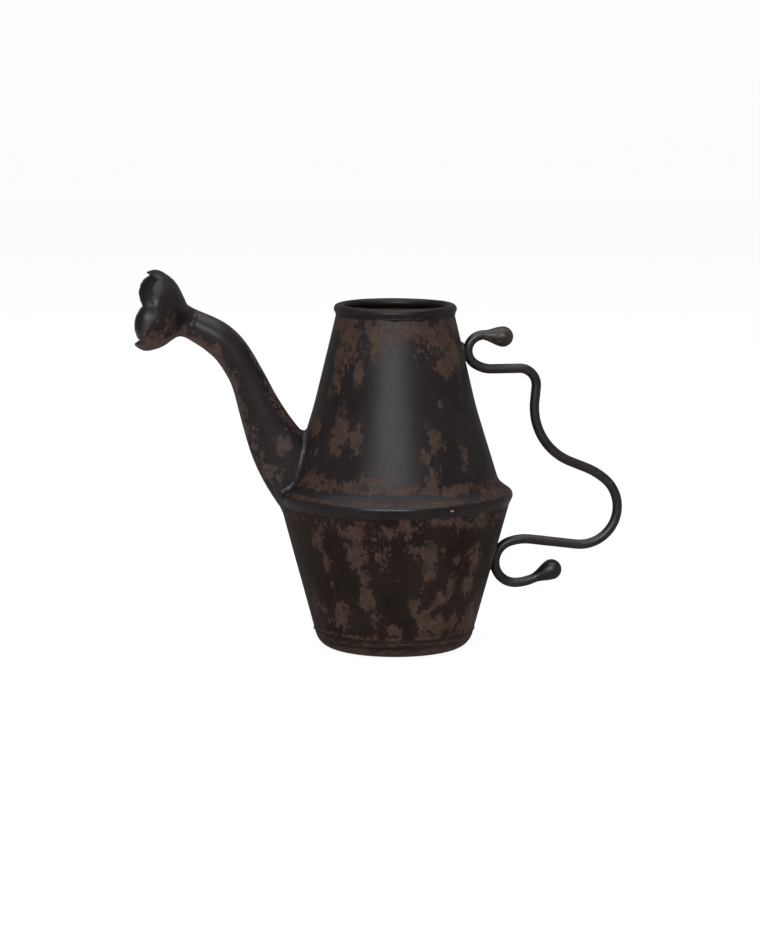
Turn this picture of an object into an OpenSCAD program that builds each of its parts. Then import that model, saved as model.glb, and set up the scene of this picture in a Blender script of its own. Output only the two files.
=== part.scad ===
// Decorative watering can in welded sheet iron. An inverted-cone tub carries a conical upper body
// with a flared skirt. A rod ring closes the mouth, a bent tapering spout ends in a six-petal
// flower, and a rod handle bent in an S has a curl and a ball at each end.
// The origin is the centre of the base, on the ground. +Z is up, the spout points to -X and the
// handle to +X. Outlines and routes are drawn in the plane y = 0 as [x, z] with a heading in
// degrees, counted from +X towards +Z.

/* [Tub] */
// Radius at which the line of the tub's wall would meet the ground
foot_r = 60.3; // [56:0.1:62]
// Lean of the tub's wall from the vertical, in degrees
tub_lean = 15.2; // [14.6:0.2:16]
// Radius of the rounded corner between the base and the wall
corner_r = 15; // [8:1:18]
// Height of the seam between the base pan and the wall
seam_z = 15; // [14.5:0.5:20]
// Thickness of the sheet in the base, tub and upper body
sheet_t = 1.2; // [0.8:0.1:1.6]

/* [Shoulder] */
// Radius of the ridge at its widest
ridge_r = 94.7; // [94:0.1:95.4]
// Height of the ridge at its widest
ridge_z = 123.5; // [122.5:0.5:124.5]
// Rounding of the ridge's edge
ridge_round = 4; // [3.6:0.2:4.4]
// Lean of the skirt, which flares out to the ridge
skirt_lean = 54; // [50:1:58]

/* [Upper body] */
// Lean of the lower half of the upper body
low_lean = 17.2; // [16.8:0.1:17.4]
// Lean of the upper half of the upper body
top_lean = 13.4; // [13.1:0.1:13.5]
// Radius of the bend between the upper body and its skirt
skirt_bend_r = 16; // [12:1:20]

/* [Mouth] */
// Radius of the rod that makes the ring
ring_rod_r = 4; // [3.8:0.1:4.2]
// Radius of the ring, to the centre of its rod
ring_r = 45.3; // [45:0.1:45.8]
// Height of the ring's centre
ring_z = 272.2; // [271.8:0.2:272.6]
// Radius of the bead of weld under the ring
ring_weld_r = 1.3; // [1.1:0.1:1.5]

/* [Spout] */
// Outer radius of the spout where it meets the flower
spout_neck_r = 11.8; // [11:0.2:12]
// Outer radius of the spout along its middle
spout_mid_r = 13.6; // [13:0.2:14.4]
// Outer radius of the spout, in the plane of its bend, where it starts to widen into its root
spout_root_r = 20.8; // [20:0.2:22]
// Side-to-side size of the spout at its root, as a share of its size in the plane of the bend
spout_flatness = 0.72; // [0.65:0.01:0.85]
// Thickness of the spout's wall
spout_t = 1.5; // [1:0.1:2]
// Height of the middle of the spout's foot on the body
spout_foot_z = 142; // [141:0.5:143]
// Half the height of the spout's foot
spout_foot_h = 30; // [28:0.5:31]
// Half the width of the spout's foot
spout_foot_w = 15; // [13:0.5:17]
// Radius of the round hole through the upper body behind the spout
spout_hole_r = 11; // [8:0.5:12]

/* [Flower] */
// Number of petals
petals = 6; // [5:1:8]
// Outer radius of the flower
flower_r = 32; // [30:0.2:34]
// Depth of the notches between the petals
petal_depth = 5.6; // [3:0.1:8]
// How far the petals on the front side stand back from the others
front_set_back = 2.8; // [0:0.1:5]
// Upward tilt of the flower
flower_tilt = 9.6; // [9:0.1:16]
// Turn of the flower towards the front
flower_turn = 1.4; // [0:0.2:6]
// Thickness of the petals
petal_t = 1.6; // [1.2:0.1:2]

/* [Handle] */
// Radius of the handle's rod
rod_r = 4; // [3.6:0.1:4]
// Radius of the ball at each end of the handle
ball_r = 8.4; // [7.5:0.1:9]
// Half angle of the taper between the rod and the ball
ball_taper = 18; // [15:1:21]

/* [Hidden] */
$fn = 96;
FINE_FN = 480;       // for the body where a small weld lies against it
DARK_IRON = [0.15, 0.12, 0.11];
WORN_IRON = [0.30, 0.22, 0.17];
WELD_IRON = [0.22, 0.18, 0.17];
ARC_STEP = 5;        // degrees of an arc between two points of an outline
SPOUT_SIDES = 48;
SPOUT_ARC_STEP = 3;
PETAL_STEPS = 12;    // points around each petal
GAP = 0.3;           // gap left under the faceted pieces, so that they never cut a curved one
RIDGE_GAP = 0.6;     // more of that gap where the spout's foot crosses the ridge

// The base pan and the tub
seam_weld_r = 1.1;
pan_flat_r = foot_r - corner_r * tan(45 - tub_lean / 2);
function wall_r(z) = foot_r + z * tan(tub_lean);

// The ridge: a rounded edge that runs into the wall below at a steeper lean
ridge_under_lean = 24;
ridge_centre = [ridge_r - ridge_round, ridge_z];
ridge_low = ridge_centre + ridge_round * [cos(ridge_under_lean), -sin(ridge_under_lean)];
ridge_high = ridge_centre + ridge_round * [cos(skirt_lean), sin(skirt_lean)];
ridge_foot_z = (foot_r - ridge_low[0] + ridge_low[1] * tan(ridge_under_lean))
    / (tan(ridge_under_lean) - tan(tub_lean));
wall_top_z = ridge_z - 1;

// The upper body, from the ridge to the mouth
skirt_run = 6.4;
low_run = 48.3;
cone_bend_r = 300;
top_run = 68.8;

// The spout's centre line, from the flower to where its root starts to widen
spout_start = [-164.7, 263, -23.9, 0];
spout_moves = [[155, -7.3], [57, -24.6], [142, -13.8], [355, 6]];
spout_taper_in = 25;
spout_widen_from = 60;
root_steps = 6;
root_pull = 0.45;    // how far the root keeps its direction before it turns to its foot
weld_leg = 4.5;

// The flower: distance along its axis from the joint, radius as a share of flower_r, and rise of
// the section's centre above the axis
flower_profile = [[4, 0.39, 1.3], [7, 0.465, 3.2], [10, 0.565, 4.6], [13.7, 0.7, 5.4], [17.3, 0.81, 5.4],
    [21.3, 0.895, 5.4], [25.7, 0.957, 5.4], [29, 0.995, 5.4], [32, 1.013, 5.4], [35, 1, 5.4],
    [38, 0.955, 5.4], [41, 0.895, 5.4]];
cup_rings = 7;       // rings of the profile that are the same all round
edge_rings = 5;      // rings that follow the petals' edge
petal_tip = 40.5;
petal_crease = 0.05;

// The handle's centre line, from the upper ball to the lower one
handle_start = [72.8, 249.7, 174.3, 0];
handle_moves = [[12.5, 149.5], [24.8, 36.3], [22.7, 0], [13.9, -95.5], [11.7, 0], [48.6, 73.1],
    [14, 0], [58.7, -18.7], [30.1, -146.7], [38.2, 0], [39.9, 24.7], [17.3, 164.8], [40, 23]];
upper_curl = 0;      // the move that bends round the upper contact, and the one round the lower
lower_curl = 11;
ROD_SIDES = 16;
ROD_ARC_STEP = 8;
weld_run = 12;
handle_weld_r = 3;
upper_weld = [55.4, 236.8, 90 + top_lean];
lower_weld = [78.2, 64.5, 90 - tub_lean];

// --- Routes --------------------------------------------------------------------------------------
// A place on a route is [x, z, heading, distance]. A move is [length, 0] for a straight run, or
// [radius, turn] for an arc that turns by so many degrees, to the left if positive.
function run_to(p, run) = [p[0] + run * cos(p[2]), p[1] + run * sin(p[2]), p[2], p[3] + run];
function arc_to(p, r, turn) =
    let (side = sign(turn) * r, h = p[2] + turn)
    [p[0] + side * (sin(h) - sin(p[2])), p[1] - side * (cos(h) - cos(p[2])), h,
        p[3] + r * abs(turn) * PI / 180];
function after(p, move) = move[1] == 0 ? run_to(p, move[0]) : arc_to(p, move[0], move[1]);
function share(move, f) = move[1] == 0 ? [move[0] * f, 0] : [move[0], move[1] * f];
function steps(move, arc_step) = move[1] == 0 ? 1 : ceil(abs(move[1]) / arc_step);
function route(p, moves, arc_step = ARC_STEP, i = 0) = i == len(moves) ? [p] : concat(
    let (n = steps(moves[i], arc_step))
        [p, for (k = [1 : 1 : n - 1]) after(p, share(moves[i], k / n))],
    route(after(p, moves[i]), moves, arc_step, i + 1));
function route_end(p, moves, i = 0) =
    i == len(moves) ? p : route_end(after(p, moves[i]), moves, i + 1);
// The points at a distance to the left of a route
function beside(places, d) = [for (p = places) [p[0] - d * sin(p[2]), p[1] + d * cos(p[2])]];
function backwards(list) = [for (i = [len(list) - 1 : -1 : 0]) list[i]];
// The outline of a sheet whose outer face follows a route and whose inner face is on its left
function sheet(places, t) = concat(beside(places, 0), backwards(beside(places, t)));

// --- Outline of the body -------------------------------------------------------------------------
pan_route = route([0, 0, 0, 0], [[pan_flat_r, 0], [corner_r, 90 - tub_lean],
    [(seam_z - corner_r * (1 - sin(tub_lean))) / cos(tub_lean), 0]]);
wall_route = [[wall_r(seam_z), seam_z, 90 - tub_lean, 0],
    [wall_r(wall_top_z), wall_top_z, 90 - tub_lean, 0]];
cone_route = route([ridge_high[0], ridge_high[1], 90 + skirt_lean, 0], [[skirt_run, 0],
    [skirt_bend_r, low_lean - skirt_lean], [low_run, 0], [cone_bend_r, top_lean - low_lean],
    [top_run, 0]]);
ridge_points = [for (a = [-ridge_under_lean : ARC_STEP : skirt_lean - 1])
    ridge_centre + ridge_round * [cos(a), sin(a)]];
body_outline = concat([[wall_r(seam_z), seam_z], [wall_r(ridge_foot_z), ridge_foot_z]], ridge_points,
    beside(cone_route, 0));
body_heights = [for (p = body_outline) [p[1], p[0]]];
// Outer radius of the body at a height above the seam
function body_r(z) = lookup(z, body_heights);

module turned(points) {
    rotate_extrude() polygon(points);
}

module ring(centre_r, z, section_r) {
    rotate_extrude() translate([centre_r, z]) circle(section_r);
}

module seam_ring() {
    middle = sheet_t / 2;
    ring(wall_r(seam_z) - middle * cos(tub_lean), seam_z + middle * sin(tub_lean), seam_weld_r);
}

module body_solid() {
    turned(concat([[0, seam_z]], body_outline, [[0, body_outline[len(body_outline) - 1][1]]]));
}

// --- Body pieces ---------------------------------------------------------------------------------
module base_pan() {
    color(WORN_IRON) difference() {
        turned(sheet(pan_route, sheet_t));
        seam_ring();
    }
}

module base_weld() {
    color(WELD_IRON) seam_ring();
}

module tub_sheet() {
    turned(sheet(wall_route, sheet_t));
}

module tub_wall() {
    color(DARK_IRON) difference() {
        tub_sheet();
        seam_ring();
    }
}

module cone_sheet() {
    turned(sheet(cone_route, sheet_t));
}

// The weld fills the ridge's rounded edge and grips the ends of both sheets
module shoulder_weld() {
    weld_back = 4;
    color(WELD_IRON) difference() {
        turned(concat([[wall_r(ridge_foot_z), ridge_foot_z]], ridge_points, [ridge_high,
            ridge_high + weld_back * [-sin(skirt_lean), cos(skirt_lean)]
                - 2 * sheet_t * [cos(skirt_lean), sin(skirt_lean)],
            [wall_r(wall_top_z) - weld_back, wall_top_z]]));
        tub_sheet();
        cone_sheet();
    }
}

module cone_shell() {
    color(DARK_IRON) difference() {
        cone_sheet();
        ring(ring_r, ring_z, ring_rod_r);
        translate([0, 0, spout_foot_z + 8]) rotate([0, -90, 0]) cylinder(h = ridge_r + 10, r = spout_hole_r);
    }
}

module rim_ring() {
    color(DARK_IRON) ring(ring_r, ring_z, ring_rod_r);
}

module rim_weld() {
    weld_z = ring_z - ring_rod_r + 0.2;
    color(WELD_IRON) difference() {
        ring(body_r(weld_z) + 0.3, weld_z, ring_weld_r);
        ring(ring_r, ring_z, ring_rod_r);
        cone_sheet();
    }
}

// --- Spout ---------------------------------------------------------------------------------------
spout_places = route(spout_start, spout_moves, SPOUT_ARC_STEP);
spout_last = spout_places[len(spout_places) - 1];
spout_before = spout_places[len(spout_places) - 2];

// Outer radius in the plane of the bend, at a distance along the centre line
function spout_r(s) =
    s < spout_taper_in ? spout_neck_r + (spout_mid_r - spout_neck_r) * s / spout_taper_in
    : s < spout_widen_from ? spout_mid_r
    : spout_mid_r + (spout_root_r - spout_mid_r)
        * pow((s - spout_widen_from) / (spout_last[3] - spout_widen_from), 1.4);
// Share of that radius from side to side
function spout_side(s) =
    1 - (1 - spout_flatness) * max(0, s - spout_widen_from) / (spout_last[3] - spout_widen_from);
// A point of the section at a place: angle 0 is the upper side, 90 the back
function section_point(p, r, side, a) =
    [p[0] - r * cos(a) * sin(p[2]), side * r * sin(a), p[1] + r * cos(a) * cos(p[2])];
function spout_point(p, t, a) =
    section_point(p, spout_r(p[3]) - t, (spout_r(p[3]) * spout_side(p[3]) - t) / (spout_r(p[3]) - t), a);
// A point of the foot on the body's face; grow is negative for the inner face
function foot_point(grow, a) =
    let (z = spout_foot_z + (spout_foot_h + grow) * cos(a), y = (spout_foot_w + grow) * sin(a),
        ridge_gap = RIDGE_GAP * max(0, 1 - abs(z - ridge_high[1]) / ridge_round / 2))
    [-sqrt(pow(body_r(z) + GAP + ridge_gap, 2) - y * y), y, z];
// A point of the root, f = 0 at the last section and 1 at the foot
function root_point(t, a, f) =
    let (near = spout_point(spout_last, t, a), far = foot_point(-t, a),
        way = near - spout_point(spout_before, t, a),
        pull = near + way / norm(way) * root_pull * norm(far - near))
    (1 - f) * (1 - f) * near + 2 * f * (1 - f) * pull + f * f * far;
function spout_ring(p, t) = [for (i = [0 : SPOUT_SIDES - 1]) spout_point(p, t, i * 360 / SPOUT_SIDES)];
function root_ring(f, t) = [for (i = [0 : SPOUT_SIDES - 1]) root_point(t, i * 360 / SPOUT_SIDES, f)];

// Triangles between ring j and ring k, of n points each
function side_faces(j, k, n) = [for (i = [0 : n - 1], half = [0, 1])
    let (a = j * n + i, b = j * n + (i + 1) % n, c = k * n + (i + 1) % n, d = k * n + i)
    half == 0 ? [a, b, c] : [a, c, d]];

// A closed solid from a loop of rings: each is joined to the next, and the last to the first
module closed_loft(rings) {
    m = len(rings);
    polyhedron([for (r = rings) each r],
        [for (j = [0 : m - 1]) each side_faces(j, (j + 1) % m, len(rings[0]))]);
}

// A closed solid from a row of rings, with a flat cap at each end
module capped_loft(rings) {
    n = len(rings[0]);
    m = len(rings);
    polyhedron([for (r = rings) each r], concat([for (j = [0 : m - 2]) each side_faces(j, j + 1, n)],
        [[for (i = [n - 1 : -1 : 0]) i], [for (i = [0 : n - 1]) (m - 1) * n + i]]));
}

module spout_tube() {
    outer = concat([for (p = spout_places) spout_ring(p, 0)],
        [for (k = [1 : root_steps]) root_ring(k / root_steps, 0)]);
    inner = concat([for (p = spout_places) spout_ring(p, spout_t)],
        [for (k = [1 : root_steps]) root_ring(k / root_steps, spout_t)]);
    color(DARK_IRON) closed_loft(concat(outer, backwards(inner)));
}

// The fillet of weld around the spout's foot, as one section at each angle
module spout_weld() {
    angles = [for (i = [0 : SPOUT_SIDES - 1]) i * 360 / SPOUT_SIDES];
    foot = [for (a = angles) foot_point(GAP, a)];
    out_mid = [for (a = angles) foot_point(weld_leg / 2, a)];
    out_end = [for (a = angles) foot_point(weld_leg, a)];
    way_up = [for (i = [0 : SPOUT_SIDES - 1]) root_point(0, angles[i], 0.75) - root_point(0, angles[i], 1)];
    up_end = [for (i = [0 : SPOUT_SIDES - 1]) foot[i] + way_up[i] / norm(way_up[i]) * weld_leg
        + (out_end[i] - foot[i]) * 0.1];
    hollow = [for (i = [0 : SPOUT_SIDES - 1]) (up_end[i] + out_end[i]) * 0.46 + foot[i] * 0.08];
    color(WELD_IRON) closed_loft([foot, up_end, hollow, out_end, out_mid]);
}

// --- Flower --------------------------------------------------------------------------------------
flower_sides = petals * PETAL_STEPS;
// How far round a petal an angle is: 0 at the notches and 1 at the middle of the petal
function petal_swell(a) = abs(cos(petals * a / 2));
function petal_edge(a) =
    petal_tip - petal_depth * (1 - pow(petal_swell(a), 0.6)) - front_set_back * max(0, -sin(a));
function profile_part(s, k) = lookup(s, [for (p = flower_profile) [p[0], p[k]]]);
// Distance along the axis of ring k at an angle
function ring_s(k, a) = k < cup_rings ? flower_profile[k][0]
    : flower_profile[cup_rings - 1][0]
        + (petal_edge(a) - flower_profile[cup_rings - 1][0]) * (k - cup_rings + 1) / edge_rings;
// Radius at a distance along the axis, drawn in a little at the creases between the petals
function flower_radius(s, a) =
    flower_r * profile_part(s, 1) * (1 - petal_crease * pow(1 - petal_swell(a), 1.5) * min(1, s / petal_tip));
function in_flower(s, r, rise, a) =
    [-s, r * sin(a), rise + r * cos(a)];
function flower_point(k, t, a) =
    let (s = ring_s(k, a), r = flower_radius(s, a), slope = atan2(flower_radius(s + 1, a) - r, 1))
    in_flower(s + t * sin(slope), r - t * cos(slope), profile_part(s, 2), a);
function placed(p) =
    let (x = p[0] * cos(flower_turn) - p[1] * sin(flower_turn),
        y = p[0] * sin(flower_turn) + p[1] * cos(flower_turn))
    [spout_start[0] + x * cos(flower_tilt) + p[2] * sin(flower_tilt), y,
        spout_start[1] - x * sin(flower_tilt) + p[2] * cos(flower_tilt)];
function flower_ring(k, t) = [for (i = [0 : flower_sides - 1])
    placed(flower_point(k, t, i * 360 / flower_sides))];
// The end of the flower's neck lies square to the spout, a gap away from its end
function neck_ring(t) =
    let (back = run_to(spout_start, -2 * GAP))
    [for (i = [0 : flower_sides - 1]) section_point(back, spout_neck_r - t, 1, i * 360 / flower_sides)];

module flower_bell() {
    last = cup_rings + edge_rings - 1;
    outer = [for (k = [last : -1 : 0]) flower_ring(k, 0)];
    inner = [for (k = [0 : last]) flower_ring(k, petal_t)];
    color(WORN_IRON) closed_loft(concat([neck_ring(petal_t)], inner, outer, [neck_ring(0)]));
}

module neck_weld() {
    half = 2;
    inner_r = spout_neck_r + 0.6;
    bulge = 0.8;
    color(WELD_IRON) translate([spout_start[0], 0, spout_start[1]])
        rotate([0, 90 - (spout_start[2] - flower_tilt) / 2, 0]) rotate_extrude()
            polygon([[inner_r, -half], [inner_r + 0.5 * bulge, -0.7 * half], [inner_r + bulge, 0],
                [inner_r + 0.5 * bulge, 0.7 * half], [inner_r, half]]);
}

// --- Handle --------------------------------------------------------------------------------------
module in_plane(x, z, heading) {
    translate([x, 0, z]) rotate([0, 90 - heading, 0]) children();
}

module handle_rod() {
    color(DARK_IRON) capped_loft([for (p = route(handle_start, handle_moves, ROD_ARC_STEP))
        [for (i = [0 : ROD_SIDES - 1]) section_point(p, rod_r, 1, i * 360 / ROD_SIDES)]]);
}

// The whole ring that a curl of the handle is part of
module curl_ring(curl) {
    p = route_end(handle_start, [for (i = [0 : 1 : curl - 1]) handle_moves[i]]);
    r = handle_moves[curl][0];
    translate([p[0] - r * sin(p[2]), 0, p[1] + r * cos(p[2])]) rotate([90, 0, 0])
        rotate_extrude() translate([r, 0]) circle(rod_r);
}

// A ball drawn down to the rod by a straight taper
module teardrop() {
    taper_run = (ball_r * cos(ball_taper) - rod_r) / tan(ball_taper);
    centre = taper_run + ball_r * sin(ball_taper);
    rotate_extrude() polygon(concat([[0, 0], [rod_r, 0]],
        [for (a = [-ball_taper : ARC_STEP : 89]) [ball_r * cos(a), centre + ball_r * sin(a)]],
        [[0, centre + ball_r]]));
}

module finial_upper() {
    color(DARK_IRON) in_plane(handle_start[0], handle_start[1], handle_start[2] - 180) teardrop();
}

module finial_lower() {
    end = route_end(handle_start, handle_moves);
    color(DARK_IRON) in_plane(end[0], end[1], end[2]) teardrop();
}

// A run of weld along the line where the rod touches the body
module handle_weld(place, curl) {
    color(WELD_IRON) difference() {
        in_plane(place[0], place[1], place[2]) {
            translate([0, 0, -weld_run / 2]) cylinder(h = weld_run, r = handle_weld_r);
            translate([0, 0, -weld_run / 2]) sphere(handle_weld_r);
            translate([0, 0, weld_run / 2]) sphere(handle_weld_r);
        }
        body_solid($fn = FINE_FN);
        curl_ring(curl);
    }
}

module handle_weld_upper() {
    handle_weld(upper_weld, upper_curl);
}

module handle_weld_lower() {
    handle_weld(lower_weld, lower_curl);
}

base_pan();
base_weld();
tub_wall();
shoulder_weld();
cone_shell();
rim_ring();
rim_weld();
spout_tube();
spout_weld();
flower_bell();
neck_weld();
handle_rod();
finial_upper();
finial_lower();
handle_weld_upper();
handle_weld_lower();
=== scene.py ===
import math
import random

import bmesh
import bpy
from mathutils import Matrix, Vector, noise


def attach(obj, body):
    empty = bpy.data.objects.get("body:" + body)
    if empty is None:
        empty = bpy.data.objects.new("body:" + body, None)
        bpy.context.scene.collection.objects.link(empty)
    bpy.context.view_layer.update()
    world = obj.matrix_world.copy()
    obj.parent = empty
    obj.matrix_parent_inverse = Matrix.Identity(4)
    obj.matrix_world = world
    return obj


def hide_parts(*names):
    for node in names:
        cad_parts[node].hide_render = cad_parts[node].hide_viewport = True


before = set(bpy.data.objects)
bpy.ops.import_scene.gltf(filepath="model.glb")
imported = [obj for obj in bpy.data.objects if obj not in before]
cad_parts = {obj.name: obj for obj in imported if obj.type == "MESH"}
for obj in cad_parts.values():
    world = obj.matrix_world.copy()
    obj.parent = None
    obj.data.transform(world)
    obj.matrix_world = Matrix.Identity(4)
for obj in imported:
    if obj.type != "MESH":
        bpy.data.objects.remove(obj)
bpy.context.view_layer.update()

# Decorative watering can in worn, dark-painted iron. Shapes are worked out in millimetres in the
# CAD frame and become metres when a mesh is made.
MM = 0.001
CAMERA_TURN = math.radians(10.5)      # the camera stands this far round from the -Y side


def rad(degrees):
    return math.radians(degrees)


# --- Routes: (x, z, heading, distance); a move is (length, 0) or (radius, turn) in mm and degrees --
def after(p, size, turn):
    x, z, h, s = p
    if turn == 0:
        return (x + size * math.cos(h), z + size * math.sin(h), h, s + size)
    side = math.copysign(size, turn)
    g = h + rad(turn)
    return (x + side * (math.sin(g) - math.sin(h)), z - side * (math.cos(g) - math.cos(h)), g,
            s + size * abs(rad(turn)))


def route(start, moves, step):
    p = (start[0], start[1], rad(start[2]), 0.0)
    places = [p]
    for size, turn in moves:
        length = size if turn == 0 else size * abs(rad(turn))
        n = max(1, math.ceil(length / step))
        for k in range(1, n + 1):
            part = k / n
            places.append(after(p, size * part, 0) if turn == 0 else after(p, size, turn * part))
        p = places[-1]
    return places


def beside(places, d):
    return [(p[0] - d * math.sin(p[2]), p[1] + d * math.cos(p[2])) for p in places]


def sheet(places, t):
    return beside(places, 0) + beside(places, t)[::-1]


def spread(x, xs, ys):
    """The value at x on the broken line through (xs, ys)."""
    if x <= xs[0]:
        return ys[0]
    for i in range(1, len(xs)):
        if x <= xs[i]:
            return ys[i - 1] + (ys[i] - ys[i - 1]) * (x - xs[i - 1]) / (xs[i] - xs[i - 1])
    return ys[-1]


def smooth(x, lo, hi):
    t = min(1.0, max(0.0, (x - lo) / (hi - lo)))
    return t * t * (3 - 2 * t)


def wavy(x, y, z, size):
    """Smooth noise from about -1 to 1 with features of that size in mm."""
    return noise.noise(Vector((x / size, y / size, z / size)))


# --- The body's outline -------------------------------------------------------------------------
FOOT_R, TUB_LEAN, CORNER_R, SEAM_Z, SHEET_T = 60.3, 15.2, 15.0, 15.0, 1.2
RIDGE_R, RIDGE_Z, RIDGE_ROUND, SKIRT_LEAN = 94.7, 123.5, 4.0, 54.0
LOW_LEAN, TOP_LEAN, SKIRT_BEND_R = 17.2, 13.4, 16.0
RING_ROD_R, RING_R, RING_Z = 4.0, 45.3, 272.2
RIDGE_UNDER_LEAN = 24.0
SKIRT_RUN, LOW_RUN, CONE_BEND_R, TOP_RUN = 6.4, 48.3, 300, 68.8
STEP = 2.2                            # distance between rows along the body's sheets


def wall_r(z):
    return FOOT_R + z * math.tan(rad(TUB_LEAN))


pan_flat_r = FOOT_R - CORNER_R * math.tan(rad(45 - TUB_LEAN / 2))
pan_rise = (SEAM_Z - CORNER_R * (1 - math.sin(rad(TUB_LEAN)))) / math.cos(rad(TUB_LEAN))
wall_top_z = RIDGE_Z - 1
pan_route = route((0, 0, 0), [(pan_flat_r, 0), (CORNER_R, 90 - TUB_LEAN), (pan_rise, 0)], 1.6)
wall_route = route((wall_r(SEAM_Z), SEAM_Z, 90 - TUB_LEAN),
                   [((wall_top_z - SEAM_Z) / math.cos(rad(TUB_LEAN)), 0)], STEP)
ridge_centre = (RIDGE_R - RIDGE_ROUND, RIDGE_Z)


def on_ridge(angle, r=RIDGE_ROUND):
    return (ridge_centre[0] + r * math.cos(rad(angle)), ridge_centre[1] + r * math.sin(rad(angle)))


ridge_high = on_ridge(SKIRT_LEAN)
ridge_low = on_ridge(-RIDGE_UNDER_LEAN)
under = math.tan(rad(RIDGE_UNDER_LEAN))
ridge_foot_z = (FOOT_R - ridge_low[0] + ridge_low[1] * under) / (under - math.tan(rad(TUB_LEAN)))
cone_route = route((ridge_high[0], ridge_high[1], 90 + SKIRT_LEAN),
                   [(SKIRT_RUN, 0), (SKIRT_BEND_R, LOW_LEAN - SKIRT_LEAN), (LOW_RUN, 0),
                    (CONE_BEND_R, TOP_LEAN - LOW_LEAN), (TOP_RUN, 0)], STEP)
ridge_points = [on_ridge(a) for a in range(-24, 54, 6)]
body_line = ([(wall_r(0), 0), (wall_r(ridge_foot_z), ridge_foot_z)] + ridge_points
             + beside(cone_route, 0))
line_z = [p[1] for p in body_line]
line_r = [p[0] for p in body_line]


def body_r(z):
    return spread(z, line_z, line_r)


def at_angle(angle, r, z):
    """The point at an angle in degrees from the side that faces the camera, in mm."""
    a = rad(angle) - CAMERA_TURN
    return (r * math.sin(a), -r * math.cos(a), z)


def dent(x, y, z):
    """How far the sheet is pressed in at a place, in mm: the slow unevenness of rolled sheet."""
    slow = 0.5 + 0.5 * wavy(x, y, z, 42)
    fine = 0.5 + 0.5 * wavy(x + 200, y, z, 13)
    return 0.22 * slow + 0.06 * fine


# --- Mesh making --------------------------------------------------------------------------------
def finish_mesh(name, bm, sharp_angle=40):
    bmesh.ops.recalc_face_normals(bm, faces=bm.faces)
    mesh = bpy.data.meshes.new(name)
    bm.to_mesh(mesh)
    bm.free()
    mesh.shade_smooth()
    mesh.set_sharp_from_angle(angle=rad(sharp_angle))
    obj = bpy.data.objects.new(name, mesh)
    bpy.context.scene.collection.objects.link(obj)
    return obj


def skin(name, rows, loop=False, sharp_angle=40):
    """A closed mesh through rows of points in mm. A row of one point is a pole."""
    bm = bmesh.new()
    made = [[bm.verts.new(Vector(p) * MM) for p in row] for row in rows]
    count = len(made)
    for j in range(count if loop else count - 1):
        a, b = made[j], made[(j + 1) % count]
        n = max(len(a), len(b))
        if n == 1:
            continue
        for i in range(n):
            k = (i + 1) % n
            if len(a) == 1:
                bm.faces.new((a[0], b[k], b[i]))
            elif len(b) == 1:
                bm.faces.new((a[i], a[k], b[0]))
            else:
                bm.faces.new((a[i], a[k], b[k], b[i]))
    if not loop:
        for row in (made[0], made[-1]):
            if len(row) > 2:
                bm.faces.new(row)
    return finish_mesh(name, bm, sharp_angle)


def lathe(name, line, sides, press=None, sharp_angle=40):
    """A closed line of (radius, height) turned round the Z axis, pressed in by press(x, y, z)."""
    rows = []
    for r, z in line:
        if r < 0.01:
            rows.append([(0, 0, z)])
            continue
        row = []
        for i in range(sides):
            a = 2 * math.pi * i / sides
            x, y = math.cos(a), math.sin(a)
            q = r - (press(r * x, r * y, z) if press else 0)
            row.append((q * x, q * y, z))
        rows.append(row)
    return skin(name, rows, loop=True, sharp_angle=sharp_angle)


def bead_ring(name, sides, around, centre, size):
    """A bead of weld round the Z axis: centre(a) gives (radius, height), size(a, b) its half width."""
    rows = []
    for i in range(sides):
        a = 2 * math.pi * i / sides
        r0, z0 = centre(a)
        row = []
        for j in range(around):
            b = 2 * math.pi * j / around
            w = size(a, b)
            r = r0 + w * math.cos(b)
            row.append((r * math.cos(a), r * math.sin(a), z0 + w * math.sin(b)))
        rows.append(row)
    return skin(name, rows, loop=True)


# --- Body ---------------------------------------------------------------------------------------
SIDES = 224


def pan_press(x, y, z):
    return dent(x, y, z) * smooth(z, 1.5, 8)


BUMPS = [(-11, 103, 3.2, 0.75), (4, 97.5, 3.4, 0.45)]


def wall_press(x, y, z):
    push = dent(x, y, z)
    for angle, height, size, high in BUMPS:
        px, py, pz = at_angle(angle, wall_r(height), height)
        d = math.dist((x, y, z), (px, py, pz)) / size
        push -= high * math.exp(-d * d)
    return push


pan = lathe("pan_pressed", sheet(pan_route, SHEET_T), SIDES, pan_press)
wall = lathe("tub_rolled", sheet(wall_route, SHEET_T), 320, wall_press)


def cone_press(x, y, z):
    return dent(x, y, z) * smooth(abs(z - RIDGE_Z), 3, 14)


cone = lathe("cone_rolled", sheet(cone_route, SHEET_T), 256, cone_press)


def seam_centre(a):
    mid = SHEET_T / 2
    return (wall_r(SEAM_Z) - mid * math.cos(rad(TUB_LEAN)),
            SEAM_Z + 0.25 * wavy(40 * math.cos(a), 40 * math.sin(a), 7, 9))


def seam_size(a, b):
    x, y = 60 * math.cos(a), 60 * math.sin(a)
    return 1.0 + 0.22 * wavy(x, y, 3 * math.sin(b), 5) + 0.1 * wavy(x, y, 30, 1.8)


seam = bead_ring("seam_bead", 420, 10, seam_centre, seam_size)


def ridge_press(x, y, z):
    return 0.05 + 0.12 * (0.5 + 0.5 * wavy(x, y, z, 16)) + 0.05 * (0.5 + 0.5 * wavy(x, y, z + 90, 5))


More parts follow.
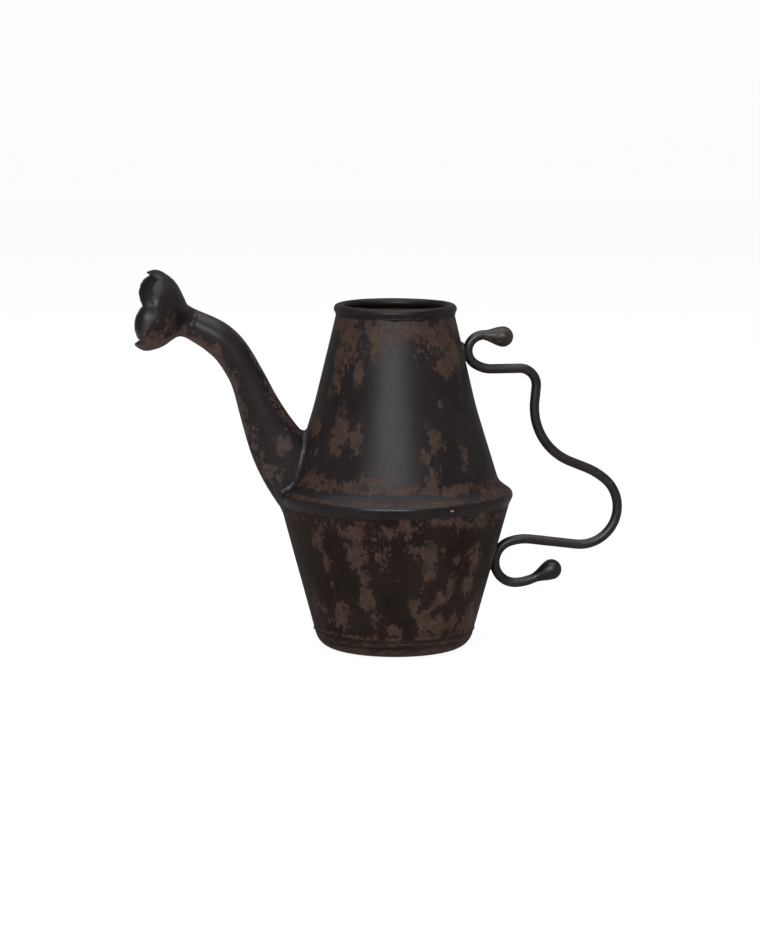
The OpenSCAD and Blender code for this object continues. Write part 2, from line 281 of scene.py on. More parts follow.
weld_back = 4.0
back = (ridge_high[0] - weld_back * math.sin(rad(SKIRT_LEAN)) - 2 * SHEET_T * math.cos(rad(SKIRT_LEAN)),
        ridge_high[1] + weld_back * math.cos(rad(SKIRT_LEAN)) - 2 * SHEET_T * math.sin(rad(SKIRT_LEAN)))
ridge_line = ([(wall_r(ridge_foot_z) - 0.2, ridge_foot_z)]
              + [(wall_r(ridge_foot_z) + (ridge_low[0] - wall_r(ridge_foot_z)) * k / 5,
                  ridge_foot_z + (ridge_low[1] - ridge_foot_z) * k / 5) for k in range(1, 5)]
              + [on_ridge(a) for a in range(-24, 66, 6)]
              + [back, (wall_r(wall_top_z) - weld_back, wall_top_z - 2)])
ridge = lathe("ridge_rolled", ridge_line, 320, ridge_press, sharp_angle=60)


def ring_centre(a):
    x, y = 45 * math.cos(a), 45 * math.sin(a)
    return (RING_R - 0.15 + 0.15 * wavy(x, y, 0, 24), RING_Z - 0.1 + 0.1 * wavy(x, y, 60, 30))


def ring_size(a, b):
    x, y = 45 * math.cos(a), 45 * math.sin(a)
    return RING_ROD_R - 0.16 + 0.1 * wavy(x, y, 4 * math.sin(b), 9)


ring = bead_ring("ring_bar", 256, 24, ring_centre, ring_size)


RING_KNOBS = [258, 285, 306, 318]    # where the weld under the ring is thicker, in degrees


def under_ring(a):
    x, y = 49 * math.cos(a), 49 * math.sin(a)
    z = RING_Z - RING_ROD_R + 0.1 + 0.35 * wavy(x, y, 11, 8)
    return (body_r(z) - 0.1 + 0.2 * wavy(x, y, 50, 6), z)


def under_ring_size(a, b):
    x, y = 49 * math.cos(a), 49 * math.sin(a)
    knobs = sum(math.exp(-((a - rad(t)) / 0.07) ** 2) for t in RING_KNOBS)
    return 1.0 + 0.6 * wavy(x, y, 2 * math.sin(b), 11) + 0.15 * wavy(x, y, 20, 2.2) + 0.7 * knobs


under_bead = bead_ring("ring_bead", 300, 10, under_ring, under_ring_size)

# --- Spout --------------------------------------------------------------------------------------
NECK_R, MID_R, ROOT_R, FLATNESS, SPOUT_T = 11.8, 13.6, 20.8, 0.72, 1.5
FOOT_Z, FOOT_H, FOOT_W = 142.0, 30.0, 15.0
# The start and the moves are the rounded result of a fit to the photograph by a separate script, as
# in part.scad. A move is (length, 0) for a straight run, or (radius, turn) for a bend.
SPOUT_START = (-164.7, 263.0, -23.9)
WIDEN_FROM = 60.0
spout_places = route(SPOUT_START, [(155, -7.3), (57, -24.6), (142, -13.8), (355, 6)], 2.0)
spout_end = spout_places[-1]
AROUND = 72


def widened(s):
    return max(0.0, s - WIDEN_FROM) / (spout_end[3] - WIDEN_FROM)


def spout_r(s):
    if s < 25:
        return NECK_R + (MID_R - NECK_R) * s / 25
    return MID_R + (ROOT_R - MID_R) * widened(s) ** 1.4


def across(p, r, side, a):
    return (p[0] - r * math.cos(a) * math.sin(p[2]), side * r * math.sin(a),
            p[1] + r * math.cos(a) * math.cos(p[2]))


def spout_point(p, t, a, rough=True):
    r = spout_r(p[3])
    side = 1 - (1 - FLATNESS) * widened(p[3])
    x, y, z = across(p, r - t, (r * side - t) / (r - t), a)
    if rough and t == 0:
        push = 0.12 * (0.5 + 0.5 * wavy(x, y, z, 16)) + 0.1 * (0.5 + 0.5 * wavy(x, y, z, 7))
        x, y, z = across(p, r - push, (r * side - push) / (r - push), a)
    return Vector((x, y, z))


def foot_point(grow, a, gap=0.05):
    z = FOOT_Z + (FOOT_H + grow) * math.cos(a)
    y = (FOOT_W + grow) * math.sin(a)
    near_ridge = 0.5 * max(0.0, 1 - abs(z - ridge_high[1]) / 8)
    r = body_r(z) + gap + near_ridge
    return Vector((-math.sqrt(r * r - y * y), y, z))


def root_point(t, a, f):
    near = spout_point(spout_end, t, a)
    far = foot_point(-t, a)
    way = (near - spout_point(spout_places[-2], t, a)).normalized()
    pull = near + way * 0.45 * (far - near).length
    return (1 - f) ** 2 * near + 2 * f * (1 - f) * pull + f * f * far


angles = [2 * math.pi * i / AROUND for i in range(AROUND)]
ROOT_ROWS = 14


def spout_rows(t):
    rows = [[spout_point(p, t, a) for a in angles] for p in spout_places]
    rows += [[root_point(t, a, k / ROOT_ROWS) for a in angles] for k in range(1, ROOT_ROWS + 1)]
    return rows


spout = skin("spout_bent", spout_rows(0) + spout_rows(SPOUT_T)[::-1], loop=True, sharp_angle=60)

BEAD_TURNS = 180
BEAD_POINTS = 7


def bead_leg(a):
    """Size of the fillet round the spout's foot: widest in the notch above it and on the ridge."""
    x, y = 30 * math.cos(a), 30 * math.sin(a)
    top = max(0.0, math.cos(a)) ** 6
    low = max(0.0, -math.cos(a)) ** 8
    return 3.6 + 3.2 * top + 1.2 * low + 0.5 * wavy(x, y, 3, 9) + 0.25 * wavy(x, y, 40, 2.6)


bead_rows = []
for i in range(BEAD_TURNS):
    a = 2 * math.pi * i / BEAD_TURNS
    leg = bead_leg(a)
    foot = foot_point(0.0, a, 0.1)
    up_way = (root_point(0, a, 0.6) - root_point(0, a, 1)).normalized()
    up_end = foot + up_way * leg
    out_end = foot_point(leg, a, 0.0)
    row = [foot + up_way * 0.5]
    for k in range(BEAD_POINTS + 1):
        f = k / BEAD_POINTS
        lift = up_end * (1 - f) + out_end * f
        sag = 4 * f * (1 - f)
        ripple = 0.22 * sag * wavy(30 * math.cos(a), 30 * math.sin(a), 6 * f + 80, 2.3)
        row.append(lift + (foot - lift) * (0.34 * sag + ripple))
    row.append(foot_point(leg * 0.5, a, -0.3))
    bead_rows.append(row)
spout_bead = skin("spout_bead", bead_rows, loop=True, sharp_angle=70)

# --- Flower -------------------------------------------------------------------------------------
PETALS, FLOWER_R, PETAL_DEPTH, TILT, TURN, PETAL_T = 6, 32.0, 6.6, rad(9.6), rad(1.4), 1.6
PETAL_TIP, CREASE, SET_BACK = 40.5, 0.05, 2.8
PROFILE_S = [4, 7, 10, 13.7, 17.3, 21.3, 25.7, 29, 32, 35, 38, 41]
PROFILE_R = [0.39, 0.465, 0.565, 0.7, 0.81, 0.895, 0.957, 0.995, 1.013, 1, 0.955, 0.895]
PROFILE_RISE = [1.3, 3.2, 4.6] + [5.4] * 9
FLOWER_SIDES = PETALS * 30
petal_random = random.Random(7)
petal_back = [petal_random.uniform(0.1, 1.4) for _ in range(PETALS)]


def petal_swell(a):
    return min(1.0, math.sqrt(math.cos(PETALS * a / 2) ** 2 + 0.002))


def petal_edge(a):
    which = int(math.floor(PETALS * a / (2 * math.pi) + 0.5)) % PETALS
    swell = petal_swell(a)
    front = max(0.0, -math.sin(a))
    scallop = 0.55 * noise.noise(Vector((9 * math.cos(a), 9 * math.sin(a), 3)))
    notch = PETAL_DEPTH * (1 + 0.3 * front) * (1 - swell ** 0.6)
    own_back = 0.7 * petal_back[which] * smooth(swell, 0, 0.6)
    return PETAL_TIP - notch - own_back - SET_BACK * front - 0.5 + scallop


def flower_radius(s, a):
    drawn_in = CREASE * (1 - petal_swell(a)) ** 1.5 * min(1.0, s / PETAL_TIP)
    share = sum(spread(s + step, PROFILE_S, PROFILE_R) for step in (-2, -1, 0, 1, 2)) / 5
    return FLOWER_R * share * (1 - drawn_in)


def placed(s, r, a):
    x, y, z = -s, r * math.sin(a), spread(s, PROFILE_S, PROFILE_RISE) + r * math.cos(a)
    x, y = x * math.cos(TURN) - y * math.sin(TURN), x * math.sin(TURN) + y * math.cos(TURN)
    return Vector((SPOUT_START[0] + x * math.cos(TILT) + z * math.sin(TILT), y,
                   SPOUT_START[1] - x * math.sin(TILT) + z * math.cos(TILT)))


def flower_point(f, t, a):
    s = 4 + (petal_edge(a) - 4) * f
    r = flower_radius(s, a)
    slope = math.atan2(flower_radius(s + 1, a) - r, 1)
    ripple = 0.25 * noise.noise(placed(s, r, a) / 8) if t == 0 else 0.0
    q = t + 0.15 + ripple
    return placed(s + t * math.sin(slope), r - q * math.cos(slope), a)


flower_angles = [2 * math.pi * i / FLOWER_SIDES for i in range(FLOWER_SIDES)]
CUP_ROWS = 26
outer = [[flower_point(k / CUP_ROWS, 0.0, a) for a in flower_angles] for k in range(CUP_ROWS + 1)]
inner = [[flower_point(k / CUP_ROWS, PETAL_T, a) for a in flower_angles] for k in range(CUP_ROWS + 1)]
lip = [[(o + i) / 2 + (o - outer[-2][n]).normalized() * 0.45
        for n, (o, i) in enumerate(zip(outer[-1], inner[-1]))]]
neck_at = after((SPOUT_START[0], SPOUT_START[1], rad(SPOUT_START[2]), 0), -0.3, 0)
neck_out = [[Vector(across(neck_at, NECK_R, 1, a)) for a in flower_angles]]
neck_in = [[Vector(across(neck_at, NECK_R - PETAL_T, 1, a)) for a in flower_angles]]
flower = skin("flower_petals", neck_out + outer + lip + inner[::-1] + neck_in, loop=True, sharp_angle=65)

neck_rows = []
NECK_TURNS = 72
for j in range(13):
    b = 2 * math.pi * j / 13
    row = []
    for i in range(NECK_TURNS):
        a = 2 * math.pi * i / NECK_TURNS
        round_x, round_y = 12 * math.cos(a), 12 * math.sin(a)
        lump = 0.5 * wavy(round_x, round_y, 5, 6) + 0.2 * wavy(round_x, round_y, 50, 2.4)
        knob = math.exp(-((a - rad(262)) / 0.24) ** 2)
        s = (3.4 + 1.2 * knob) * math.cos(b) * (1 + 0.3 * lump) + 1.5 * knob
        bulge, sunk = max(0.0, math.sin(b)), max(0.0, -math.sin(b))
        r = NECK_R - 0.35 + (0.5 + 0.45 * lump + 0.45 * knob) * bulge - 0.6 * sunk
        p = after((SPOUT_START[0], SPOUT_START[1], rad(SPOUT_START[2]), 0), s, 0)
        row.append(across(p, r, 1, a))
    neck_rows.append(row)
neck_bead = skin("neck_bead", neck_rows, loop=True, sharp_angle=80)

# --- Handle -------------------------------------------------------------------------------------
ROD_R, BALL_R = 4.0, 8.4
# As for the spout, these come from a separate script's fit to the photograph, as in part.scad. Only the
# tenth move's length and the last move were changed afterwards.
HANDLE_START = (72.8, 249.7, 174.3)
HANDLE_MOVES = [(12.5, 149.5), (24.8, 36.3), (22.7, 0), (13.9, -95.5), (11.7, 0), (48.6, 73.1),
                (14, 0), (58.7, -18.7), (30.1, -146.7), (38.2, 0), (39.9, 24.7), (17.3, 164.8), (40, 23)]
handle_places = route(HANDLE_START, HANDLE_MOVES, 1.6)
ROD_AROUND = 28


def rod_row(p):
    row = []
    for i in range(ROD_AROUND):
        a = 2 * math.pi * i / ROD_AROUND
        x, y, z = across(p, ROD_R, 1, a)
        cut = 0.03 + 0.1 * (0.5 + 0.5 * wavy(x, y, z, 7)) + 0.08 * (0.5 + 0.5 * wavy(x, y, z, 22))
        row.append(across(p, ROD_R - cut, 1, a))
    return row


rod = skin("rod_bent", [rod_row(p) for p in handle_places])

TAPER = 18.0
taper_run = (BALL_R * math.cos(rad(TAPER)) - ROD_R) / math.tan(rad(TAPER))
ball_at = taper_run + BALL_R * math.sin(rad(TAPER))


def teardrop(name, p, heading, seed):
    """A forged ball drawn down to the rod along heading, from the rod's end at p."""
    shape = [(-2.0, ROD_R - 0.12), (0.0, ROD_R - 0.02)]
    widening = BALL_R * math.cos(rad(TAPER)) - ROD_R
    for k in range(1, 9):
        f = k / 9
        blend = f * f * (3 - 2 * f)
        shape.append((taper_run * f, ROD_R + widening * (0.55 * f + 0.45 * blend)))
    for k in range(0, 14):
        a = -TAPER + (90 + TAPER) * k / 14
        shape.append((ball_at + BALL_R * math.sin(rad(a)), BALL_R * math.cos(rad(a))))
    c, s = math.cos(heading), math.sin(heading)
    rows = []
    for along, r in shape:
        place = (p[0] + along * c, p[1] + along * s, heading, 0)
        row = []
        for i in range(32):
            a = 2 * math.pi * i / 32
            x, y, z = across(place, r, 1, a)
            cut = 0.25 * (0.5 + 0.5 * wavy(x + seed, y, z, 8)) * smooth(along, 0, 8)
            row.append(across(place, max(0.2, r - cut), 1, a))
        rows.append(row)
    tip = ball_at + BALL_R - 0.15
    rows.append([(p[0] + tip * c, 0, p[1] + tip * s)])
    return skin(name, rows)


first, last = handle_places[0], handle_places[-1]
ball_up = teardrop("ball_upper", first, first[2] - math.pi, 0)
ball_low = teardrop("ball_lower", last, last[2], 50)


def weld_run(name, x, z, heading, seed):
    """A lumpy run of weld along the line where the rod lies against the body."""
    rows = []
    h = rad(heading)
    for k in range(19):
        f = -1 + 2 * k / 18
        r = 2.7 * math.sqrt(max(0.02, 1 - abs(f) ** 3))
        place = (x + 8.2 * f * math.cos(h), z + 8.2 * f * math.sin(h), h, 0)
        row = []
        for i in range(20):
            a = 2 * math.pi * i / 20
            px, py, pz = across(place, r, 1.15, a)
            row.append(across(place, r * (1 + 0.13 * wavy(px + seed, py, pz, 3)), 1.15, a))
        rows.append(row)
    return skin(name, rows)


weld_up = weld_run("curl_bead_upper", 55.4, 236.8, 90 + TOP_LEAN, 0)
weld_low = weld_run("curl_bead_lower", 78.2, 64.5, 90 - TUB_LEAN, 70)


# --- Materials ----------------------------------------------------------------------------------
class Net:
    """The node tree of one material."""

    def __init__(self, name):
        self.mat = bpy.data.materials.new(name)
        self.mat.use_nodes = True
        self.tree = self.mat.node_tree
        self.tree.nodes.clear()
        self.here = self.add("ShaderNodeTexCoord").outputs["Object"]

    def add(self, kind, **settings):
        node = self.tree.nodes.new(kind)
        for key, value in settings.items():
            setattr(node, key, value)
        return node

    def put(self, socket, value):
        if hasattr(value, "is_output"):
            self.tree.links.new(value, socket)
        else:
            socket.default_value = value

    def math(self, operation, a, b=0.0, c=0.0, clamp=False):
        node = self.add("ShaderNodeMath", operation=operation, use_clamp=clamp)
        for socket, value in zip(node.inputs, (a, b, c)):
            self.put(socket, value)
        return node.outputs[0]

    def stretched(self, size):
        node = self.add("ShaderNodeMapping", vector_type="POINT")
        self.put(node.inputs["Vector"], self.here)
        node.inputs["Scale"].default_value = size
        return node.outputs[0]

    def noise(self, scale, detail=4.0, roughness=0.55, distortion=0.0, size=(1, 1, 1)):
        node = self.add("ShaderNodeTexNoise")
        self.put(node.inputs["Vector"], self.stretched(size))
        node.inputs["Scale"].default_value = scale
        node.inputs["Detail"].default_value = detail
        node.inputs["Roughness"].default_value = roughness
        node.inputs["Distortion"].default_value = distortion
        return node.outputs["Fac"]

    def between(self, value, lo, hi, to_lo=0.0, to_hi=1.0):
        node = self.add("ShaderNodeMapRange", interpolation_type="SMOOTHSTEP")
        self.put(node.inputs["Value"], value)
        for name, number in (("From Min", lo), ("From Max", hi), ("To Min", to_lo), ("To Max", to_hi)):
            node.inputs[name].default_value = number
        return node.outputs["Result"]

    def mix(self, share, a, b):
        node = self.add("ShaderNodeMix", data_type="RGBA")
        self.put(node.inputs["Factor"], share)
        for socket, value in ((node.inputs["A"], a), (node.inputs["B"], b)):
            self.put(socket, value if hasattr(value, "is_output") else (*value, 1.0))
        return node.outputs["Result"]

    def painted(self, name):
        return self.add("ShaderNodeAttribute", attribute_name=name, attribute_type="GEOMETRY").outputs["Fac"]

    def height(self):
        node = self.add("ShaderNodeSeparateXYZ")
        self.put(node.inputs[0], self.here)
        return node.outputs["Z"]

    def band(self, low, high, soft):
        """1 between two heights in mm, falling to 0 over a soft edge."""
        z = self.height()
        up = self.between(z, (low - soft) * MM, (low + soft) * MM)
        down = self.between(z, (high - soft) * MM, (high + soft) * MM, 1.0, 0.0)
        return self.math("MULTIPLY", up, down)


DARK_A, DARK_B = (0.0078, 0.0052, 0.0062), (0.0152, 0.0112, 0.0126)
WARM_DARK = (0.0080, 0.0042, 0.0032), (0.0160, 0.0095, 0.0080)
DEEP_BROWN = (0.022, 0.0115, 0.0070), (0.046, 0.0255, 0.0165)
BROWN_A, BROWN_B = (0.040, 0.0215, 0.0140), (0.064, 0.0365, 0.0250)
RUST = (0.115, 0.037, 0.013)
# Light grey for the flower: a painted highlight on the petal lips and painted light on the inside of the cup,
# partly bare metal.
BARE_AND_LIT_GREY = (0.115, 0.100, 0.096)
GOLD = (0.42, 0.22, 0.06)


def near(point, spots):
    """1 at the middle of the nearest spot, 0 at its edge and -1.5 far away. A spot is a place in mm
    and its half sizes across and up."""
    best = 2.5
    for (x, y, z), wide, high in spots:
        d = math.hypot((point[0] - x) / wide, (point[1] - y) / wide, (point[2] - z) / high)
        best = min(best, d)
    return 1 - best


def store(obj, name, values):
    layer = obj.data.attributes.new(name, "FLOAT", "POINT")
    layer.data.foreach_set("value", values)


def paint(obj, name, worth):
    """Stores worth(point in mm) on each vertex, for a material to read."""
    store(obj, name, [worth(v.co / MM) for v in obj.data.vertices])


def iron(name, bands=(), amount=-1.15, size=(1, 1, 0.6), ragged=2.9, spots=True, rust=False,
         gold=False, bare_and_lit=False, dark_rough=0.42, brown_rough=0.58, grain=1.0, level=0.34,
         dark_pair=None, brown_pair=None):
    """Dark satin paint worn through to brown. The large worn places are painted on the vertices as
    "worn", bands are (low, high, soft, strength) heights in mm, and amount is how worn the rest is."""
    net = Net(name)
    coarse = net.noise(85, 11.0, 0.74, 0.3, size)
    slow = net.noise(16, 3.0, 0.5, 0.0, size)
    fine = net.noise(520, 4.0, 0.6, 0.0)
    field = net.math("MAXIMUM", net.painted("worn"), amount) if spots else amount
    for low, high, soft, strength in bands:
        push = net.math("MULTIPLY", net.band(low, high, soft), strength - amount)
        field = net.math("MAXIMUM", field, net.math("ADD", push, amount))
    wear = net.math("MULTIPLY_ADD", net.math("SUBTRACT", coarse, 0.5), ragged * 2.2, field)
    wear = net.math("MULTIPLY_ADD", net.math("SUBTRACT", slow, 0.5), 0.9, wear)
    crumbs = net.noise(300, 8.0, 0.75, 0.0, size)
    wear = net.math("MULTIPLY_ADD", net.math("SUBTRACT", crumbs, 0.5), 5.5, wear)
    worn = net.between(wear, -0.05, 0.3)
    thin = net.between(wear, -1.6, 0.2)
    dark = net.mix(net.between(net.noise(22, 4.0, 0.6), 0.3, 0.72), *(dark_pair or (DARK_A, DARK_B)))
    brown = net.mix(net.between(net.noise(140, 5.0, 0.62), 0.3, 0.7), *(brown_pair or (BROWN_A, BROWN_B)))
    colour = net.mix(net.math("MULTIPLY", thin, 0.10), dark, BROWN_A)
    colour = net.mix(worn, colour, brown)
    if rust:
        spot = net.math("MULTIPLY_ADD", net.math("SUBTRACT", coarse, 0.5), 2.6, net.painted("rusted"))
        colour = net.mix(net.between(spot, 0.1, 0.9, 0.0, 0.4), colour, RUST)
    # Painted highlight and painted light: the colour mixes toward light grey where the flower's lips and
    # inside are marked, partly bare metal.
    if bare_and_lit:
        colour = net.mix(net.math("MULTIPLY", net.painted("bare_and_lit_share"), 0.8), colour, BARE_AND_LIT_GREY)
    if gold:
        chip = net.math("MULTIPLY_ADD", net.math("SUBTRACT", fine, 0.5), 1.2, net.painted("chipped"))
        colour = net.mix(net.between(chip, 0.1, 0.3, 0.0, 0.9), colour, GOLD)
    rough = net.math("MULTIPLY_ADD", worn, brown_rough - dark_rough, dark_rough - 0.05)
    rough = net.math("MULTIPLY_ADD", net.noise(60, 3.0), 0.10, rough)
    relief = net.math("MULTIPLY_ADD", worn, -0.5, net.math("MULTIPLY", fine, 0.5 * grain))
    relief = net.math("MULTIPLY_ADD", net.noise(170, 4.0, 0.6), 0.6 * grain, relief)
    bump = net.add("ShaderNodeBump")
    bump.inputs["Strength"].default_value = 0.35
    bump.inputs["Distance"].default_value = 0.00022
    net.put(bump.inputs["Height"], relief)
    shader = net.add("ShaderNodeBsdfPrincipled")
    net.put(shader.inputs["Base Color"], colour)
    net.put(shader.inputs["Roughness"], rough)
    shader.inputs["Specular IOR Level"].default_value = level
    net.put(shader.inputs["Normal"], bump.outputs[0])
    out = net.add("ShaderNodeOutputMaterial")
    net.put(out.inputs["Surface"], shader.outputs[0])
    return net.mat


def spots_on_body(table):
    return [(at_angle(angle, body_r(z), z), wide, high) for angle, z, wide, high in table]


# Worn places on the upper body and the tub: angle from the camera side, height, half width and
# half height in mm. They were marked on the photograph and converted to these numbers by a
# separate script, then partly adjusted by hand.
# The far side, which is not seen, gets scattered ones of the same kind.
CONE_WORN = [(-20, 253, 9, 15), (-47, 255, 12, 13), (-52, 236, 9, 12), (-54, 219, 8, 10), (8, 256, 15, 9),
             (38, 253, 16, 13), (46, 231, 9, 9), (59, 239, 7, 16), (-29, 226, 4, 9), (-39, 181, 8, 13),
             (-25, 176, 5, 12), (-66, 180, 7, 9), (27, 174, 6, 15), (18, 162, 4, 8), (46, 162, 5, 10),
             (57, 204, 2, 4), (34, 202, 2, 4), (-51, 142, 15, 6), (-32, 139, 13, 4), (-12, 144, 11, 7),
             (7, 139, 15, 3), (21, 146, 7, 8), (33, 136, 12, 3), (63, 130, 22, 6), (-37, 163, 2, 4),
             (-56, 164, 2, 3)]
TUB_WORN = [(25, 114, 16, 4), (49, 110, 22, 5), (-21, 105, 12, 6), (1, 107, 21, 7), (-7, 88, 6, 8),
            (-44, 99, 7, 9), (-42, 79, 4, 10), (-40, 61, 2, 4), (-38, 32, 7, 11), (-21, 86, 7, 11),
            (-18, 68, 5, 7), (-16, 51, 5, 10), (-10, 34, 7, 5), (-1, 25, 8, 5), (11, 91, 6, 5),
            (19, 86, 8, 10), (21, 71, 4, 4), (13, 45, 5, 9), (19, 32, 6, 11), (30, 49, 6, 5),
            (32, 27, 9, 6), (35, 58, 4, 9), (36, 82, 3, 5), (43, 30, 3, 10), (50, 78, 7, 10),
            (50, 59, 5, 8), (-59, 37, 9, 14), (63, 27, 13, 13)]
back_random = random.Random(21)
CONE_BACK = [(back_random.uniform(85, 275), back_random.uniform(140, 250), back_random.uniform(4, 12),
              back_random.uniform(6, 14)) for _ in range(14)]
TUB_BACK = [(back_random.uniform(75, 285), back_random.uniform(26, 112), back_random.uniform(4, 11),
             back_random.uniform(6, 15)) for _ in range(16)]

spout_random = random.Random(4)
spout_spots = []
for place in spout_places[::4]:
    for turn, reach in ((-154, 5.5), (-22, 2.0 + 3.5 * smooth(place[3], 25, 80)), (150, 5.0), (60, 3.0)):
        size = reach * spout_random.uniform(0.7, 1.2)
        at = across(place, spout_r(place[3]), 1, rad(turn + spout_random.uniform(-9, 9)))
        spout_spots.append((at, size, 1.6 * size))
spout_spots += [((-118, -10, 150), 11, 12), ((-104, -14, 142), 9, 8), ((-92, -12, 168), 6, 9)]
flower_spots = [((-183, -27, 262), 4, 9), ((-178, -22, 252), 5, 8), ((-172, -12, 256), 5, 8)]
base_rust = spots_on_body([(-15, 20, 8, 2), (33, 25, 8, 2.5), (-20, 16, 8, 1.5), (8, 12, 8, 1.5)])
ridge_gold = spots_on_body([(28, 122.5, 2.2, 1.0)])
cone_spots = spots_on_body(CONE_WORN + CONE_BACK)
tub_spots = spots_on_body(TUB_WORN + TUB_BACK)


INSIDE_WORN, INSIDE_RUSTED, NOT_RUSTED = 0.55, 1.2, -2.0
INSIDE_SEEN_Z = 215                   # the inside can be seen above this height


def inside_mouth(p):
    return math.hypot(p[0], p[1]) < body_r(p[2]) - SHEET_T / 2 - 0.1 and p[2] > INSIDE_SEEN_Z


def worn_on_cone(p):
    return INSIDE_WORN if inside_mouth(p) else near(p, cone_spots)


def worn_on_flower(p):
    x, z = p[0] - SPOUT_START[0], p[2] - SPOUT_START[1]
    under = -(z * math.cos(TILT) + x * math.sin(TILT)) / FLOWER_R
    return max(near(p, flower_spots), -1.5 + 2.1 * smooth(under, -0.1, 0.6))


paint(cone, "worn", worn_on_cone)
paint(cone, "rusted", lambda p: INSIDE_RUSTED if inside_mouth(p) else NOT_RUSTED)
paint(wall, "worn", lambda p: near(p, tub_spots))
paint(wall, "rusted", lambda p: near(p, base_rust))
for piece in (pan, seam):
    paint(piece, "rusted", lambda p: near(p, base_rust))
paint(ridge, "chipped", lambda p: near(p, ridge_gold))
for piece in (spout, neck_bead):
    paint(piece, "worn", lambda p: near(p, spout_spots))
paint(flower, "worn", worn_on_flower)
# Painted highlight along the petal lips and painted light on the inside of the cup, partly bare metal; the
# neck and the outside get none.
LIP_HIGHLIGHT, INNER_LIGHT_AND_BARE = 0.9, 0.3
bare_and_lit_shares = [0.0] * ((len(neck_out) + len(outer)) * FLOWER_SIDES) + [LIP_HIGHLIGHT] * FLOWER_SIDES
bare_and_lit_shares += [INNER_LIGHT_AND_BARE] * (len(flower.data.vertices) - len(bare_and_lit_shares))
store(flower, "bare_and_lit_share", bare_and_lit_shares)
ball_spots = [((84, 0, 250), 9, 6), ((95, 0, 251), 7, 5), ((126, 0, 86), 6, 5), ((132, 0, 92), 5, 5)]
for piece in (ball_up, ball_low):
    paint(piece, "worn", lambda p: near(p, ball_spots))
paint(ridge, "worn", lambda p: near(p, tub_spots) if p[2] < 119 else -1.5)

cone_iron = iron("iron_cone", rust=True,
                 bands=[(254, 275, 5, 0.2), (134, 141, 2, 0.3), (126, 129.6, 0.5, 0.35)])
tub_iron = iron("iron_tub", bands=[(14, 19, 1.5, 0.25), (107, 116, 4, -0.15)], dark_rough=0.46, level=0.2,
                rust=True, dark_pair=WARM_DARK)
base_iron = iron("iron_base", bands=[(-5, 7.5, 0.6, 0.5), (10, 13.2, 0.6, 0.45)], amount=-0.75,
                 size=(0.8, 0.8, 3), dark_rough=0.5, ragged=4.2, level=0.24, spots=False, rust=True,
                 dark_pair=WARM_DARK, brown_pair=DEEP_BROWN)
ridge_iron = iron("iron_ridge", bands=[(112, 117.5, 1.5, -0.25)], amount=-1.4, size=(0.6, 0.6, 1),
                  dark_rough=0.29, level=0.45, grain=0.6, gold=True)
ring_iron = iron("iron_ring", amount=-1.0, dark_rough=0.40, spots=False)
spout_iron = iron("iron_spout", amount=-1.0, size=(1, 1, 0.7), ragged=2.4, dark_rough=0.32, level=0.6)
# The flower's material also carries the light grey: a painted highlight on the lips and painted light inside,
# partly bare metal.
flower_iron = iron("iron_flower", amount=-1.0, ragged=2.4, dark_rough=0.36, level=0.45, bare_and_lit=True)
weld_iron = iron("iron_weld", amount=-0.8, size=(1, 1, 1), spots=False, dark_rough=0.36, grain=1.6, level=0.5)
rod_iron = iron("iron_rod", amount=-0.9, size=(1, 1, 1), spots=False, dark_rough=0.36, level=0.72)
ball_iron = iron("iron_ball", amount=-1.1, size=(1, 1, 1), ragged=2.2, dark_rough=0.36, level=0.7)


# --- What each piece is, and what it stands for -------------------------------------------------
PIECES = [(pan, "base_pan", base_iron, "worn_iron"),
          (seam, "base_weld", base_iron, "weld_iron"),
          (wall, "tub_wall", tub_iron, "dark_iron"),
          (ridge, "shoulder_weld", ridge_iron, "weld_iron"),
          (cone, "cone_shell", cone_iron, "dark_iron"),
          (ring, "rim_ring", ring_iron, "dark_iron"),
          (under_bead, "rim_weld", ring_iron, "weld_iron"),
          (spout, "spout_tube", spout_iron, "dark_iron"),
          (spout_bead, "spout_weld", weld_iron, "weld_iron"),
          (flower, "flower_bell", flower_iron, "worn_iron"),
          (neck_bead, "neck_weld", spout_iron, "weld_iron"),
          (rod, "handle_rod", rod_iron, "dark_iron"),
          (ball_up, "finial_upper", ball_iron, "dark_iron"),
          (ball_low, "finial_lower", ball_iron, "dark_iron"),
          (weld_up, "handle_weld_upper", rod_iron, "weld_iron"),
          (weld_low, "handle_weld_lower", rod_iron, "weld_iron")]
for piece, node, material, slot in PIECES:
    piece.data.materials.append(material)
    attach(piece, "root")
    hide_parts(node)


# --- Floor, lights and camera -------------------------------------------------------------------
def paper(name, colour, glow):
    mat = bpy.data.materials.new(name)
    mat.use_nodes = True
    shader = mat.node_tree.nodes["Principled BSDF"]
    shader.inputs["Base Color"].default_value = (*colour, 1)
    shader.inputs["Roughness"].default_value = 0.9
    shader.inputs["Specular IOR Level"].default_value = 0.1
    shader.inputs["Emission Color"].default_value = (1, 1, 1, 1)
    shader.inputs["Emission Strength"].default_value = glow
    return mat


def stage_sheet(name, line, half_width, glow):
    """A sheet of paper through a side line of (distance behind the object, height) in metres."""
    corners = [(x, y, z) for y, z in line for x in (-half_width, half_width)]
    mesh = bpy.data.meshes.new(name)
    mesh.from_pydata(corners, [], [(2 * i, 2 * i + 1, 2 * i + 3, 2 * i + 2) for i in range(len(line) - 1)])
    mesh.shade_smooth()
    mesh.materials.append(paper(name + "_paper", PAPER, glow))
    obj = bpy.data.objects.new(name, mesh)
    obj.rotation_euler = (0, 0, -CAMERA_TURN)
    obj.visible_glossy = False
    bpy.context.scene.collection.objects.link(obj)
    return obj


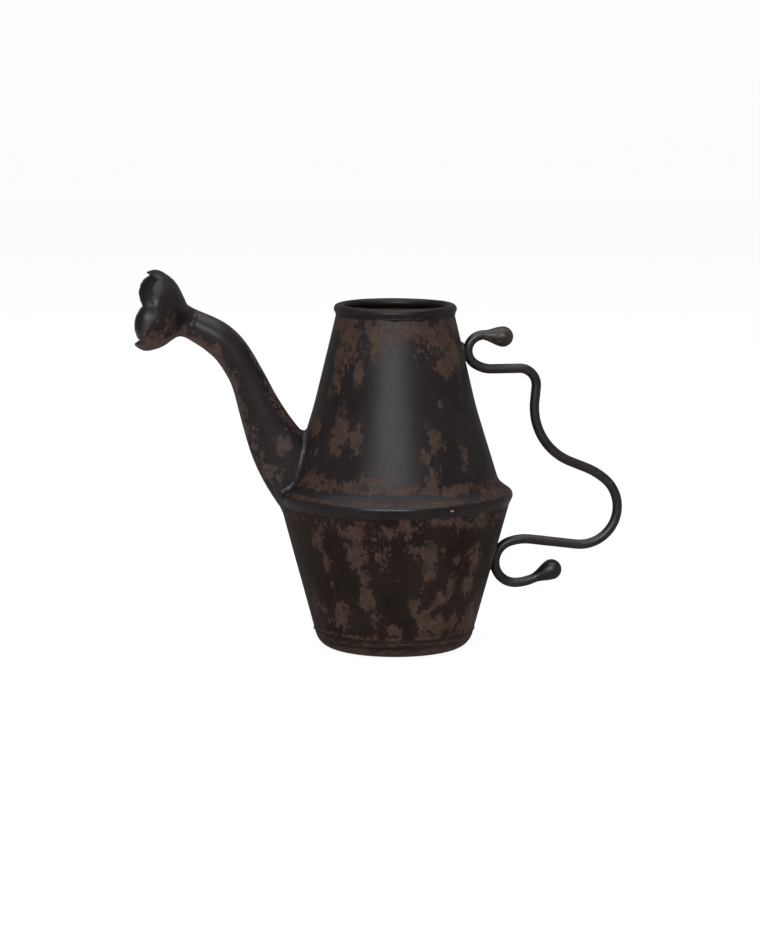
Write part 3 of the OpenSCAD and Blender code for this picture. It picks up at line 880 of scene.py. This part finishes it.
PAPER = (0.2, 0.2, 0.2)
SHEET_HALF, SWEEP_FROM, SWEEP_R, BELOW = 12.0, 5.0, 3.0, 0.0002
stage_sheet("floor", [(-SHEET_HALF, -BELOW), (SWEEP_FROM, -BELOW)], SHEET_HALF, 0.92)
sweep = [(SWEEP_FROM + SWEEP_R * math.sin(rad(t)), SWEEP_R * (1 - math.cos(rad(t))) - BELOW)
         for t in range(0, 91, 10)]
backdrop = stage_sheet("backdrop", sweep + [(SWEEP_FROM + SWEEP_R, 8.0)], SHEET_HALF, 0.93)
backdrop.visible_diffuse = False

world = bpy.data.worlds.new("studio")
world.use_nodes = True
world.node_tree.nodes["Background"].inputs["Color"].default_value = (1, 0.94, 0.9, 1)
world.node_tree.nodes["Background"].inputs["Strength"].default_value = 0.2
bpy.context.scene.world = world


def softbox(name, place, aim, wide, high, power):
    light = bpy.data.lights.new(name, "AREA")
    light.shape = "RECTANGLE"
    light.size, light.size_y = wide, high
    light.energy = power
    light.color = (0.95, 0.965, 1.0)
    obj = bpy.data.objects.new(name, light)
    obj.location = place
    obj.rotation_euler = (Vector(aim) - Vector(place)).to_track_quat("-Z", "Y").to_euler()
    bpy.context.scene.collection.objects.link(obj)


MIDDLE = (0, 0, 0.14)
softbox("overhead", (0.0, -0.2, 2.6), MIDDLE, 3.0, 3.0, 40)
softbox("front", (-0.64, -2.3, 1.2), MIDDLE, 1.9, 1.2, 32)

DISTANCE, FOCAL_PX, TALL_PX, ELEVATION, ROLL = 2.8, 3500.0, 936.0, rad(8.4), rad(0.21)
forward = Vector((math.sin(CAMERA_TURN) * math.cos(ELEVATION), math.cos(CAMERA_TURN) * math.cos(ELEVATION),
                  -math.sin(ELEVATION)))
right = Vector((math.cos(CAMERA_TURN), -math.sin(CAMERA_TURN), 0))
up = right.cross(forward)
target = right * -0.01176 + Vector((0, 0, 0.1439))
camera_data = bpy.data.cameras.new("camera")
camera_data.sensor_fit = "VERTICAL"
camera_data.sensor_height = 36.0
camera_data.lens = 36.0 * FOCAL_PX / TALL_PX
camera_data.clip_end = 100
camera = bpy.data.objects.new("camera", camera_data)
turned = Matrix((right, up, -forward)).transposed() @ Matrix.Rotation(ROLL, 3, "Z")
camera.matrix_world = Matrix.Translation(target - forward * DISTANCE) @ turned.to_4x4()
bpy.context.scene.collection.objects.link(camera)
bpy.context.scene.camera = camera
bpy.context.scene.view_settings.view_transform = "Standard"

bpy.context.view_layer.update()
